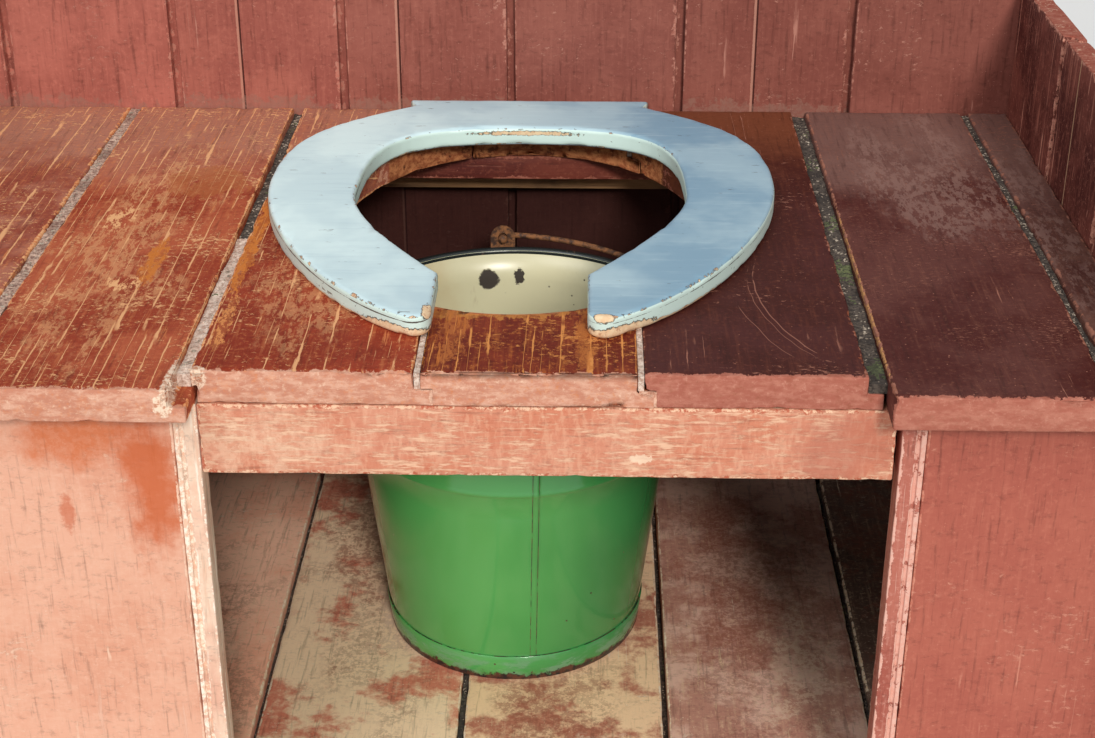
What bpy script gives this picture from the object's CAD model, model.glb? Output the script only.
"""Toilet bench of a wooden outhouse, with worn paint, a horseshoe seat and an enamelled bucket."""
import logging
import math
import random
from dataclasses import dataclass, field, replace
from enum import Enum
from typing import Iterable, Sequence

import bmesh
import bpy
from mathutils import Matrix, Vector, noise


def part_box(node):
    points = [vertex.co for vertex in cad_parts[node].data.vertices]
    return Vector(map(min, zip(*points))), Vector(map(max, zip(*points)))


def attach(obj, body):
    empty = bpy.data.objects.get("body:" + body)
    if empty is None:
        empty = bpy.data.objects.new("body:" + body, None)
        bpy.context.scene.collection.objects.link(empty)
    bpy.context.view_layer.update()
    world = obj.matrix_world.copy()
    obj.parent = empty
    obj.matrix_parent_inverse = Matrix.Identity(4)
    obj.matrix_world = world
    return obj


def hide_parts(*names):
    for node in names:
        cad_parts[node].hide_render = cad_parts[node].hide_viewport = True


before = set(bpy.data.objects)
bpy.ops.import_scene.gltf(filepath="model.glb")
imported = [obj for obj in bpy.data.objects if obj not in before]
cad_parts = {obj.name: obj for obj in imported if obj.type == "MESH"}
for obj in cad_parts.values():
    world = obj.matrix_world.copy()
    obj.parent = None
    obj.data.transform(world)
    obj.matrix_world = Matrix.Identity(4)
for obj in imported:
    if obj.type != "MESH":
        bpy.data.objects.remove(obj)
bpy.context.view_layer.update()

log = logging.getLogger("bench")

MM = 0.001
TOP_Z = 0.412
WALL_Y = 0.274
FLOOR_Z = 0.022
Triple = tuple[float, float, float]
Mesh = bmesh.types.BMesh
Paint = bpy.types.Material


def tone(red: float, green: float, blue: float) -> Triple:
    """Turns a colour as it is seen on a screen, 0 to 255, into linear light.

    Args:
        red: Red part.
        green: Green part.
        blue: Blue part.

    Returns:
        The colour's linear red, green and blue.
    """
    def linear(part: float) -> float:
        """Undoes the screen's curve for one part."""
        share = part / 255
        return share / 12.92 if share <= 0.04045 else ((share + 0.055) / 1.055) ** 2.4

    return linear(red), linear(green), linear(blue)


def smooth(value: float, low: float, high: float) -> float:
    """Eases from 0 at low to 1 at high."""
    share = min(1.0, max(0.0, (value - low) / (high - low)))
    return share * share * (3 - 2 * share)


class Grain(Enum):
    """The axis along which a board's grain runs."""

    X = 0
    Y = 1
    Z = 2

    def stretched(self, share: float, across: float = 1.0) -> Triple:
        """A mapping scale that is share along the grain and across on the other axes."""
        return tuple(share if axis == self.value else across for axis in range(3))


@dataclass(frozen=True)
class Patch:
    """A place where the paint differs: a worn spot, a stain or a chip.

    Attributes:
        centre: Its middle, in metres.
        reach: Its radii along X, Y and Z, in metres.
        colour: What shows there.
        ragged: How ragged its edge is.
        share: How strongly it covers.
        grit: How much of it is broken up.
        soft: Width of its soft edge, as a share of its reach.
        stretch: Mapping scale of its ragged edge, so that it follows the grain.
    """

    centre: Triple
    reach: Triple
    colour: Triple
    ragged: float = 0.6
    share: float = 1.0
    grit: float = 0.0
    soft: float = 0.16
    stretch: Triple = (1.0, 1.0, 1.0)


@dataclass(frozen=True)
class Fade:
    """A slow change of colour along one axis.

    Attributes:
        axis: The axis, 0 to 2.
        start: Where it begins, in metres.
        end: Where it is complete.
        colour: What it changes to.
        share: How strongly it covers.
        within: The place that it keeps to, if any.
    """

    axis: int
    start: float
    end: float
    colour: Triple
    share: float = 0.8
    within: Patch | None = None


@dataclass(frozen=True)
class Arc:
    """A thin scratch on a circle, kept inside a patch's reach.

    Attributes:
        centre: The circle's middle, X and Y.
        radius: The circle's radius.
        width: Half the scratch's width.
        within: Where it shows.
    """

    centre: tuple[float, float]
    radius: float
    width: float
    within: Patch


class Signal:
    """A number, colour or vector inside a recipe. Plain operators make new ones from it."""

    def __init__(self, recipe: "Recipe", socket: bpy.types.NodeSocket) -> None:
        """Keeps the socket and the recipe that it belongs to."""
        self.recipe = recipe
        self.socket = socket

    def math(self, operation: str, other: "Value" = 0.0) -> "Signal":
        """One sum with another number."""
        return self.recipe.add("Math", 0, {0: self, 1: other}, operation=operation)

    def __add__(self, other: "Value") -> "Signal":
        """The sum of both."""
        return self.math("ADD", other)

    def __sub__(self, other: "Value") -> "Signal":
        """What is left after taking the other away."""
        return self.math("SUBTRACT", other)

    def __rsub__(self, other: float) -> "Signal":
        """What is left of a plain number after taking this away."""
        return self.recipe.add("Math", 0, {0: other, 1: self}, operation="SUBTRACT")

    def __mul__(self, other: "Value") -> "Signal":
        """The product of both."""
        return self.math("MULTIPLY", other)

    def top(self, other: "Value") -> "Signal":
        """The larger of both."""
        return self.math("MAXIMUM", other)

    def ramp(self, low: float, high: float, start: float = 0.0, end: float = 1.0) -> "Signal":
        """Eases from start at low to end at high, and stays within them."""
        return self.recipe.add("MapRange", 0, {"Value": self, "From Min": low, "From Max": high,
                                               "To Min": start, "To Max": end},
                               interpolation_type="SMOOTHSTEP")


Value = Signal | float
Colour = Signal | Triple


class Recipe:
    """One material's node tree, built step by step."""

    def __init__(self, name: str) -> None:
        """Starts a material with one Principled shader."""
        self.material = bpy.data.materials.new(name)
        self.material.use_nodes = True
        self.tree = self.material.node_tree
        self.shader = self.tree.nodes["Principled BSDF"]
        self.place = self.add("TexCoord", "Object", {})

    def add(self, kind: str, output: str | int, inputs: dict, **settings: object) -> Signal:
        """Adds a node.

        Args:
            kind: The node's type, without what every shader node's type starts with.
            output: Name or number of the output that is used.
            inputs: What goes in, by input name or number.
            **settings: The node's own properties.

        Returns:
            The node's output.
        """
        made = self.tree.nodes.new("ShaderNode" + kind)
        for key, value in settings.items():
            setattr(made, key, value)
        for key, value in inputs.items():
            self.feed(made.inputs[key], value)
        return Signal(self, made.outputs[output])

    def feed(self, socket: bpy.types.NodeSocket, value: Value | Colour) -> None:
        """Links a socket, or sets its value where value is a plain number or colour."""
        if isinstance(value, Signal):
            self.tree.links.new(value.socket, socket)
        elif isinstance(value, tuple) and socket.type == "RGBA":
            socket.default_value = (*value, 1.0)
        else:
            socket.default_value = value

    def scaled(self, scale: Triple, shift: Triple = (0.0, 0.0, 0.0)) -> Signal:
        """Object coordinates, scaled and shifted by an amount of their own."""
        return self.add("Mapping", "Vector", {"Vector": self.place, "Scale": scale, "Location": shift})

    def noise(self, vector: Signal, scale: float, detail: float = 3.0, rough: float = 0.55,
              twist: float = 0.0) -> Signal:
        """Cloudy noise from 0 to 1 round 0.5."""
        return self.add("TexNoise", "Fac", {"Vector": vector, "Scale": scale, "Detail": detail,
                                            "Roughness": rough, "Distortion": twist})

    def cells(self, vector: Signal, scale: float) -> Signal:
        """Distance to the nearest of many scattered points."""
        return self.add("TexVoronoi", "Distance", {"Vector": vector, "Scale": scale})

    def threads(self, grain: Grain, size: float, shift: float) -> Signal:
        """Distance to the nearest of many lines along the grain, as a share of their spacing."""
        across, other = (self.axis(i) for i in range(3) if i != grain.value)
        bend = self.noise(self.scaled(grain.stretched(0.15), (shift, shift, shift)), 11.0, 2.0)
        rough = self.noise(self.scaled(grain.stretched(0.4)), 90.0, 3.0)
        place = (across + other + (bend * 0.022 + rough * 0.0016)) * size + shift
        return self.add("TexVoronoi", "Distance", {"W": place, "Scale": 1.0},
                        voronoi_dimensions="1D", feature="DISTANCE_TO_EDGE")

    def mix(self, share: Value, first: Colour, second: Colour) -> Signal:
        """Mixes two colours."""
        return self.add("Mix", 2, {0: share, 6: first, 7: second}, data_type="RGBA")

    def coats(self, colour: Colour, *layers: tuple[Value, Colour]) -> Signal:
        """Lays colours over a first one, each with its own share."""
        for share, over in layers:
            colour = self.mix(share, colour, over)
        return colour

    def attribute(self, name: str) -> Signal:
        """A number kept on the mesh's own vertices."""
        return self.add("Attribute", "Fac", {}, attribute_name=name)

    def axis(self, axis: int) -> Signal:
        """One of the object coordinates."""
        return self.add("SeparateXYZ", axis, {0: self.place})

    def length(self, vector: Signal) -> Signal:
        """A vector's length."""
        return self.add("VectorMath", "Value", {0: vector}, operation="LENGTH")

    def fade(self, fade: Fade, cloud: Signal, drift: float) -> tuple[Signal, Triple]:
        """The share and colour of a slow change, its border drifting with the clouds.

        Args:
            fade: The change.
            cloud: The clouds.
            drift: How far they move its border, in metres.

        Returns:
            One layer for coats.
        """
        place = self.axis(fade.axis) + (cloud - 0.5) * drift
        share = place.ramp(fade.start, fade.end, 0.0, fade.share)
        return (share * self.patch(fade.within) if fade.within else share), fade.colour

    def patch(self, patch: Patch) -> Signal:
        """The share of a patch at each place."""
        away = self.add("VectorMath", 0, {0: self.place, 1: patch.centre}, operation="SUBTRACT")
        away = self.add("VectorMath", 0, {0: away, 1: patch.reach}, operation="DIVIDE")
        ragged = self.noise(self.scaled(patch.stretch), 1.4 / max(min(patch.reach), 4 * MM), 6.0, 0.68) - 0.5
        length = self.length(away) + ragged * (3.2 * patch.ragged)
        mask = length.ramp(1.0 - patch.soft, 1.0, patch.share, 0.0)
        if patch.grit:
            grit = self.noise(self.scaled(patch.stretch), 210.0, 6.0, 0.75)
            mask = mask * grit.ramp(0.47, 0.53, 1.0 - patch.grit, 1.0)
        return mask

    def arc(self, arc: Arc) -> Signal:
        """The share of a curved scratch at each place."""
        flat = self.scaled((1.0, 1.0, 0.0), (-arc.centre[0], -arc.centre[1], 0.0))
        wobble = (self.noise(self.place, 30.0, 1.0) - 0.5) * (6 * MM)
        off = (self.length(flat) + wobble - arc.radius).math("ABSOLUTE")
        return off.ramp(arc.width * 0.5, arc.width, 1.0, 0.0) * self.patch(arc.within)

    def done(self, colour: Colour, rough: Value, height: Signal | None = None, depth: float = 0.0,
             strength: float = 0.6, **constants: float) -> Paint:
        """Feeds the shader and hands the material over.

        Args:
            colour: Base colour.
            rough: Roughness.
            height: Height of the surface, for its bumps.
            depth: The height's full depth, in metres.
            strength: How strongly the bumps show.
            **constants: Other sockets by their names, with underscores for spaces.

        Returns:
            The finished material.
        """
        self.feed(self.shader.inputs["Base Color"], colour)
        self.feed(self.shader.inputs["Roughness"], rough)
        if height is not None:
            bumps = self.add("Bump", 0, {"Height": height, "Distance": depth, "Strength": strength})
            self.feed(self.shader.inputs["Normal"], bumps)
        for key, value in constants.items():
            self.shader.inputs[key.replace("_", " ")].default_value = value
        return self.material


CREAM = tone(240, 214, 176)


@dataclass(frozen=True)
class WornPaint:
    """Old paint on a board, worn along the grain down to an older coat and to the wood.

    Attributes:
        name: The material's name.
        grain: The grain's axis.
        seed: Shift of every pattern, so that no two boards match.
        coat: The paint's main colour.
        second: Its colour in broad clouds.
        cloud: Number of clouds in a metre.
        hard: Half the width of the clouds' change-over, small for a sharp edge.
        balance: Where the clouds change over, 0.5 for half of each.
        under: What shows along the worn streaks.
        fleck: What shows in small flecks and scratches.
        end_coat: The colour of the faded ends.
        end_second: The ends' second colour, in fine mottling.
        end_fleck: The ends' palest flecks.
        streaks: Amount of broad streaks along the grain, 0 to 1.
        scratches: Amount of thin scratches along the grain, 0 to 1.
        dashes: Amount of small level marks, 0 to 1.
        dash_size: Number of level marks in a metre, one above the other.
        dash_soft: Width of the level marks' soft edge.
        dash_flat: Stretch of the level marks, small for long ones.
        ripple: Amount of fine saw marks across the grain, 0 to 1.
        fibres: Strength of the fine fibres, 0 to 1.
        specks: Amount of dots, 0 to 1.
        arris: Wear along the arrises, 0 to 1.
        rough: Roughness of sound paint.
        gloss: Specular level.
        fades: Slow changes of colour.
        patches: Places that differ, under the faded ends.
        arcs: Curved scratches.
        scars: Places that differ, over everything else.
        dirt: Slow changes of colour, over everything else.
    """

    name: str
    grain: Grain
    seed: float
    coat: Triple
    second: Triple
    cloud: float = 9.0
    hard: float = 0.10
    balance: float = 0.5
    under: Triple = tone(214, 140, 100)
    fleck: Triple = CREAM
    end_coat: Triple = tone(205, 140, 118)
    end_second: Triple = tone(232, 190, 165)
    end_fleck: Triple = tone(240, 206, 178)
    streaks: float = 0.5
    scratches: float = 0.5
    dashes: float = 0.4
    dash_size: float = 260.0
    dash_soft: float = 0.05
    dash_flat: float = 0.5
    ripple: float = 0.0
    fibres: float = 1.0
    specks: float = 0.3
    arris: float = 0.6
    rough: float = 0.5
    gloss: float = 0.25
    fades: tuple[Fade, ...] = ()
    patches: tuple[Patch, ...] = ()
    arcs: tuple[Arc, ...] = ()
    scars: tuple[Patch, ...] = ()
    dirt: tuple[Fade, ...] = ()

    def material(self) -> Paint:
        """Builds the paint."""
        r = Recipe(self.name)
        shift = (self.seed * 3.1, self.seed * 1.7, self.seed * 2.3)
        even = r.scaled((1.0, 1.0, 1.0), shift)
        cloud = r.noise(even, self.cloud, 6.0, 0.68)
        lift = r.noise(even, 13.0, 3.0, 0.6, 0.4) - 0.5
        fine = r.noise(even, 240.0, 4.0, 0.72)
        colour = r.mix(cloud.ramp(self.balance - self.hard, self.balance + self.hard), self.coat, self.second)
        colour = r.coats(colour, *(r.fade(fade, cloud, 0.34) for fade in self.fades))
        colour, fibre = self.texture(r, colour, fine, shift)
        colour, worn = self.wear(r, colour, lift, shift)
        colour = r.coats(colour, *((r.patch(patch), patch.colour) for patch in self.patches))
        colour = r.coats(colour, *((r.arc(arc), self.fleck) for arc in self.arcs))
        colour, edge, ends = self.edges(r, colour, even, fine)
        for scar in self.scars:
            colour = r.mix(r.patch(scar), colour,
                           r.mix(fine.ramp(0.40, 0.56), tone(196, 138, 110), scar.colour))
        colour = r.coats(colour, *(r.fade(fade, cloud, 0.06) for fade in self.dirt))
        bare = worn.top(edge.top(ends))
        height = fibre * 0.5 - bare * 0.4 + fine * ends.ramp(0.0, 1.0, 0.35, 0.9)
        return r.done(colour, bare.ramp(0.0, 1.0, self.rough, 0.85), height, 0.8 * MM,
                      Specular_IOR_Level=self.gloss)

    def texture(self, r: Recipe, colour: Signal, fine: Signal, shift: Triple) -> tuple[Signal, Signal]:
        """Adds the fine grain of the paint: fibres along the board and brush marks.

        Args:
            r: The recipe.
            colour: The colour so far.
            fine: Fine noise.
            shift: Shift of the patterns.

        Returns:
            The colour and the fibres.
        """
        fibre = r.noise(r.scaled(self.grain.stretched(0.07), shift), 300.0, 4.0, 0.62)
        brush = r.noise(r.scaled((0.45, 1.0, 1.0), shift), 260.0, 4.0, 0.7)
        dark, share = tone(38, 16, 13), self.fibres
        colour = r.coats(colour,
                         (fibre.ramp(0.52, 0.72, 0.0, 0.30 * share), self.under),
                         (fibre.ramp(0.46, 0.30, 0.0, 0.32), dark),
                         (brush.ramp(0.54, 0.72, 0.0, 0.26 * share), self.under),
                         (brush.ramp(0.46, 0.30, 0.0, 0.24), dark))
        if self.ripple:
            saw = r.noise(r.scaled(self.grain.stretched(1.0, 0.3), shift), 300.0, 3.0, 0.6, 0.4)
            colour = r.coats(colour,
                             (saw.ramp(0.50, 0.62, 0.0, 0.5 * self.ripple), self.fleck),
                             (saw.ramp(0.48, 0.36, 0.0, 0.4 * self.ripple), self.under))
        return r.mix(fine.ramp(0.54, 0.66, 0.0, 0.4 * share), colour, self.under), fibre

    def wear(self, r: Recipe, colour: Signal, lift: Signal, shift: Triple) -> tuple[Signal, Signal]:
        """Adds the worn streaks, the level marks, the scratches and the specks.

        Args:
            r: The recipe.
            colour: The colour so far.
            lift: Broad noise round 0, which gathers the wear in places.
            shift: Shift of the patterns.

        Returns:
            The colour and the share of worn paint.
        """
        far = (shift[1], shift[2], shift[0])
        streak = r.noise(r.scaled(self.grain.stretched(0.05), far), 230.0, 6.0, 0.74) + lift * 0.45
        limit = 0.71 - 0.17 * self.streaks
        layers = [(streak.ramp(limit, limit + 0.07, 0.0, 0.75), self.under)]
        dash = r.noise(r.scaled((self.dash_flat, 1.0, 1.0), far), self.dash_size, 6.0, 0.74, 0.3)
        dash = dash - lift * 0.45
        limit = 0.71 - 0.2 * self.dashes
        layers.append((dash.ramp(limit, limit + self.dash_soft, 0.0, 0.8), self.fleck))
        broken = r.noise(r.scaled(self.grain.stretched(0.12), shift), 100.0, 6.0, 0.75)
        broken = broken.ramp(0.42, 0.60, 4.0, 0.6)
        gather = r.noise(r.scaled(self.grain.stretched(0.35), far), 24.0, 3.0, 0.6)
        limit = 0.68 - 0.20 * self.scratches
        for size, gate in ((44.0, gather), (115.0, 1.0 - gather)):
            line = (r.threads(self.grain, size, far[0] + size) * broken).ramp(0.03, 0.08, 1.0, 0.0)
            layers.append((line * gate.ramp(limit, limit + 0.05, 0.0, 0.92), self.fleck))
        dot = 0.16 * self.specks
        dots = r.cells(r.scaled((1.0, 0.8, 1.0), far), 130.0).ramp(dot + 0.02, dot, 0.0, 0.75)
        layers.append((dots, self.fleck))
        worn = layers[0][0]
        for mask, _ in layers[1:]:
            worn = worn.top(mask)
        return r.coats(colour, *layers), worn

    def edges(self, r: Recipe, colour: Signal, even: Signal, fine: Signal) -> tuple[Signal, Signal, Signal]:
        """Adds the rubbed arrises, the faded ends and the sawn edge of the hole.

        Args:
            r: The recipe.
            colour: The colour so far.
            even: Shifted coordinates.
            fine: Fine noise.

        Returns:
            The colour, the share of rubbed arris and the share of faded end.
        """
        ragged = r.noise(even, 85.0, 5.0, 0.75) - 0.5
        limit = 1.22 - 0.6 * self.arris
        edge = (r.attribute("arris") + ragged * 2.6).ramp(limit, limit + 0.1)
        ends = (r.attribute("ends") + ragged * 1.5).ramp(0.44, 0.5)
        level = r.noise(r.scaled((0.4, 1.0, 1.0), (self.seed, 0.0, 0.0)), 190.0, 5.0, 0.72)
        end_colour = r.coats(self.end_coat,
                             (level.ramp(0.40, 0.64), self.end_second),
                             (fine.ramp(0.54, 0.70, 0.0, 0.5), self.end_fleck),
                             (fine.ramp(0.46, 0.32, 0.0, 0.4), self.under),
                             (ragged.ramp(0.04, 0.16, 0.0, 0.25), self.under))
        bore = r.coats(tone(150, 84, 54),
                       (level.ramp(0.4, 0.6), tone(196, 128, 84)),
                       (ragged.ramp(0.04, 0.12, 0.0, 0.8), tone(84, 42, 32)))
        colour = r.coats(colour,
                         (edge, r.mix(fine.ramp(0.42, 0.58), self.under, self.fleck)),
                         (ends, end_colour),
                         (r.attribute("bore").ramp(0.3, 0.7), bore))
        return colour, edge, ends


@dataclass(frozen=True)
class RawWood:
    """Unpainted, dirty softwood, with its grain along one axis."""

    name: str
    grain: Grain
    light: Triple = tone(170, 128, 88)
    dark: Triple = tone(104, 74, 50)

    def material(self) -> Paint:
        """Builds the wood."""
        r = Recipe(self.name)
        rings = r.noise(r.scaled(self.grain.stretched(0.05)), 60.0, 5.0, 0.6, 0.8)
        fibre = r.noise(r.scaled(self.grain.stretched(0.06)), 420.0, 3.0)
        dirt = r.noise(r.place, 14.0, 4.0, 0.65)
        colour = r.coats(self.light,
                         (rings.ramp(0.4, 0.62), self.dark),
                         (fibre.ramp(0.45, 0.7, 0.0, 0.4), self.dark),
                         (dirt.ramp(0.45, 0.75, 0.0, 0.7), tone(70, 56, 46)))
        return r.done(colour, 0.85, rings * 0.6 + fibre, 0.8 * MM)


@dataclass(frozen=True)
class SeatPaint:
    """Pale blue satin paint, brushed, chipped at the arrises down to bare wood.

    Attributes:
        chips: Middle, reach and raggedness of the larger chips.
    """

    name: str = "seat_paint"
    face: Triple = tone(128, 164, 186)
    light: Triple = tone(228, 250, 250)
    edge: Triple = tone(216, 240, 232)
    wood: Triple = tone(232, 196, 156)
    dirt: Triple = tone(62, 44, 34)
    chips: tuple[tuple[Triple, Triple, float], ...] = (
        ((-0.022, -0.204, 0.4150), (0.038, 0.030, 0.0058), 0.35),
        ((0.003, -0.200, 0.4270), (0.006, 0.012, 0.0045), 0.30),
        ((0.140, -0.204, 0.4155), (0.038, 0.030, 0.0062), 0.35),
        ((0.124, -0.209, 0.4275), (0.009, 0.005, 0.0045), 0.30),
        ((-0.095, -0.162, 0.4180), (0.030, 0.030, 0.0025), 0.40),
        ((0.060, 0.181, 0.4235), (0.085, 0.012, 0.0028), 0.45))

    def material(self) -> Paint:
        """Builds the paint."""
        r = Recipe(self.name)
        brush = r.noise(r.scaled((0.10, 1.0, 1.0)), 190.0, 4.0, 0.62)
        cloud = r.noise(r.place, 9.0, 4.0, 0.6)
        fine = r.noise(r.place, 230.0, 4.0, 0.72)
        mark = r.noise(r.scaled((0.25, 1.4, 1.0), (0.3, 0.1, 0.0)), 170.0, 4.0, 0.7)
        pale = r.axis(0).ramp(0.20, -0.12) * 0.75 + cloud.ramp(0.4, 0.6) * 0.25
        colour = r.coats(self.face,
                         (pale, self.light),
                         (brush.ramp(0.52, 0.72, 0.0, 0.14), self.light),
                         (brush.ramp(0.48, 0.28, 0.0, 0.12), tone(116, 154, 176)),
                         (r.attribute("sides").ramp(0.3, 0.8), self.edge),
                         (mark.ramp(0.66, 0.69, 0.0, 0.8), self.dirt))
        ragged = r.noise(r.place, 110.0, 6.0, 0.75) - 0.5
        where = r.noise(r.place, 17.0, 3.0, 0.6) - 0.5
        near = r.attribute("arris") + (ragged * 1.9 + where)
        low = r.attribute("foot") + (ragged * 1.3 + where)
        line = r.attribute("line") + (ragged * 1.2 + where * 2.0)
        rim = near.ramp(1.07, 1.13)
        bare = near.ramp(1.15, 1.19).top(low.ramp(0.68, 0.76))
        for centre, reach, rough in self.chips:
            mask = r.patch(Patch(centre, reach, CREAM, rough, soft=0.4))
            bare = bare.top(mask.ramp(0.55, 0.8))
            rim = rim.top(mask.ramp(0.1, 0.45))
        wood = r.coats(self.wood,
                       (fine.ramp(0.42, 0.58), CREAM),
                       (ragged.ramp(0.07, 0.14, 0.0, 0.7), tone(168, 104, 76)))
        colour = r.coats(colour, (rim.top(line.ramp(0.60, 0.70)) * 0.92, self.dirt), (bare, wood))
        return r.done(colour, bare.ramp(0.0, 1.0, 0.40, 0.85), brush * 0.35 - bare * 0.9, 0.7 * MM,
                      Specular_IOR_Level=0.4)


@dataclass(frozen=True)
class GreenEnamel:
    """Green enamel on the bucket's outside, with rust at the foot and a few specks."""

    foot_z: float
    name: str = "green_enamel"
    main: Triple = tone(88, 172, 90)
    deep: Triple = tone(56, 136, 72)

    def material(self) -> Paint:
        """Builds the enamel."""
        r = Recipe(self.name)
        cloud = r.noise(r.place, 7.0, 3.0, 0.6)
        across = cloud * 0.25 + r.axis(0) * 1.6
        rise = r.axis(2) - self.foot_z
        haze = r.noise(r.scaled((1.0, 1.0, 2.6)), 38.0, 4.0, 0.65)
        greyed = rise.ramp(0.030, 0.012) * haze.ramp(0.42, 0.62)
        rust = r.cells(r.place, 62.0).ramp(0.075, 0.045) * cloud.ramp(0.5, 0.56)
        chips = (rise + (r.noise(r.place, 70.0, 4.0, 0.75) - 0.5) * 0.022).ramp(0.0070, 0.0045)
        line = (r.attribute("line") - 1.0).math("ABSOLUTE")
        worn = line.ramp(0.3, 0.0) * r.noise(r.place, 60.0, 4.0, 0.75).ramp(0.44, 0.50)
        dark = rust.top(chips).top(worn)
        crust = r.mix(r.noise(r.place, 180.0).ramp(0.4, 0.6), tone(24, 18, 16), tone(92, 52, 34))
        colour = r.coats(self.main,
                         (across.ramp(0.12, 0.42), self.deep),
                         (greyed * 0.55, tone(128, 160, 136)),
                         (dark, crust))
        height = r.noise(r.place, 24.0, 2.0) * 0.5 - dark
        return r.done(colour, (dark + greyed * 0.5).ramp(0.0, 1.0, 0.16, 0.75), height, 0.5 * MM, 0.5,
                      Coat_Weight=0.4, Coat_Roughness=0.08)


@dataclass(frozen=True)
class CreamEnamel:
    """Stained cream enamel inside the bucket, chipped near the rear rivets."""

    centre_x: float
    patches: tuple[Patch, ...]
    name: str = "cream_enamel"
    main: Triple = tone(214, 208, 172)
    left: Triple = tone(196, 170, 122)
    right: Triple = tone(132, 136, 116)

    def material(self) -> Paint:
        """Builds the enamel."""
        r = Recipe(self.name)
        cloud = r.noise(r.place, 16.0, 4.0, 0.6)
        drift = (cloud - 0.5) * 0.12
        across = r.axis(0) - self.centre_x + drift
        smear = r.noise(r.scaled((1.0, 1.0, 0.25)), 46.0, 4.0, 0.65)
        dark = r.cells(r.place, 120.0).ramp(0.13, 0.09) * cloud.ramp(0.52, 0.58)
        colour = r.coats(self.main,
                         (across.ramp(-0.05, -0.15), self.left),
                         (across.ramp(0.03, 0.15), self.right),
                         ((r.axis(2) + drift).ramp(0.22, 0.06, 0.0, 0.75), tone(110, 92, 64)),
                         (smear.ramp(0.62, 0.72, 0.0, 0.6), tone(140, 104, 62)),
                         (dark, tone(46, 38, 32)))
        for patch in self.patches:
            mask = r.patch(patch)
            colour = r.mix(mask, colour, patch.colour)
            dark = dark.top(mask)
        return r.done(colour, dark.ramp(0.0, 1.0, 0.3, 0.8), 1.0 - dark, 0.4 * MM)


@dataclass(frozen=True)
class BlackEnamel:
    """Black enamel on the rolled rim, worn through to rust in places."""

    name: str = "black_enamel"

    def material(self) -> Paint:
        """Builds the enamel."""
        r = Recipe(self.name)
        cloud = r.noise(r.place, 60.0, 4.0, 0.7)
        chip = cloud.ramp(0.6, 0.66)
        colour = r.mix(chip, tone(34, 40, 40), tone(96, 66, 46))
        return r.done(colour, chip.ramp(0.0, 1.0, 0.25, 0.8), cloud, 0.5 * MM)


@dataclass(frozen=True)
class RustySteel:
    """Steel wire and strap, brown with rust."""

    name: str = "rusty_steel"
    light: Triple = tone(150, 100, 62)
    dark: Triple = tone(66, 44, 34)

    def material(self) -> Paint:
        """Builds the rust."""
        r = Recipe(self.name)
        crust = r.noise(r.place, 170.0, 5.0, 0.7)
        cloud = r.noise(r.place, 35.0, 3.0, 0.6)
        colour = r.coats(self.dark,
                         (crust.ramp(0.38, 0.62), self.light),
                         (cloud.ramp(0.5, 0.7, 0.0, 0.8), tone(44, 38, 36)))
        return r.done(colour, crust.ramp(0.3, 0.7, 0.6, 0.9), crust, 0.6 * MM, Metallic=0.25)


@dataclass(frozen=True)
class Litter:
    """Dust, crumbs and moss that fill the joints, and splintered wood."""

    name: str
    light: Triple
    dark: Triple

    def material(self) -> Paint:
        """Builds the crumbs' colour."""
        r = Recipe(self.name)
        grit = r.noise(r.place, 310.0, 4.0, 0.75)
        cloud = r.noise(r.place, 22.0, 3.0, 0.6)
        colour = r.coats(self.dark,
                         (grit.ramp(0.36, 0.62), self.light),
                         (cloud.ramp(0.5, 0.68, 0.0, 0.7), self.dark))
        return r.done(colour, 0.92, grit, 1.2 * MM, 0.8)


def link(name: str, data: bpy.types.ID) -> bpy.types.Object:
    """Adds an object with the given mesh, camera or lamp to the scene."""
    made = bpy.data.objects.new(name, data)
    bpy.context.scene.collection.objects.link(made)
    return made


def hand_over(bm: Mesh, name: str, slot: str, materials: Sequence[Paint], node: str | None = None) -> None:
    """Makes a bmesh an object that rides on the bench.

    Args:
        bm: The finished mesh, which is freed.
        name: The piece's name.
        slot: The record's material slot.
        materials: Its materials, by face index.
        node: The CAD node that it stands for. A piece that stands for none keeps its facets.
    """
    mesh = bpy.data.meshes.new(name)
    bm.to_mesh(mesh)
    bm.free()
    made = link(name, mesh)
    for material in materials:
        mesh.materials.append(material)
    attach(made, "bench")
    if node:
        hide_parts(node)
        mesh.shade_smooth()
    log.info("%s: %d faces", name, len(mesh.polygons))


def loose_copy(node: str) -> Mesh:
    """A copy of a CAD node's mesh, merged, with flat faces whole again."""
    bm = bmesh.new()
    bm.from_mesh(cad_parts[node].data)
    bmesh.ops.remove_doubles(bm, verts=bm.verts, dist=1e-5)
    bmesh.ops.dissolve_limit(bm, angle_limit=math.radians(0.6), verts=bm.verts, edges=bm.edges)
    return bm


def block(centre: Vector, size: Vector) -> Mesh:
    """A box of the given size round a middle."""
    bm = bmesh.new()
    cube = bmesh.ops.create_cube(bm, size=1.0)["verts"]
    matrix = Matrix.Translation(centre) @ Matrix.Diagonal((*size, 1.0))
    bmesh.ops.transform(bm, matrix=matrix, verts=cube)
    return bm


def round_over(bm: Mesh, edges: Sequence[bmesh.types.BMEdge], size: float,
               segments: int) -> list[bmesh.types.BMFace]:
    """Rounds edges over, and hands back the new faces."""
    return bmesh.ops.bevel(bm, geom=edges, offset=size, offset_type="OFFSET", segments=segments, profile=0.5,
                           affect="EDGES", clamp_overlap=True, material=-1)["faces"]


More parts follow.
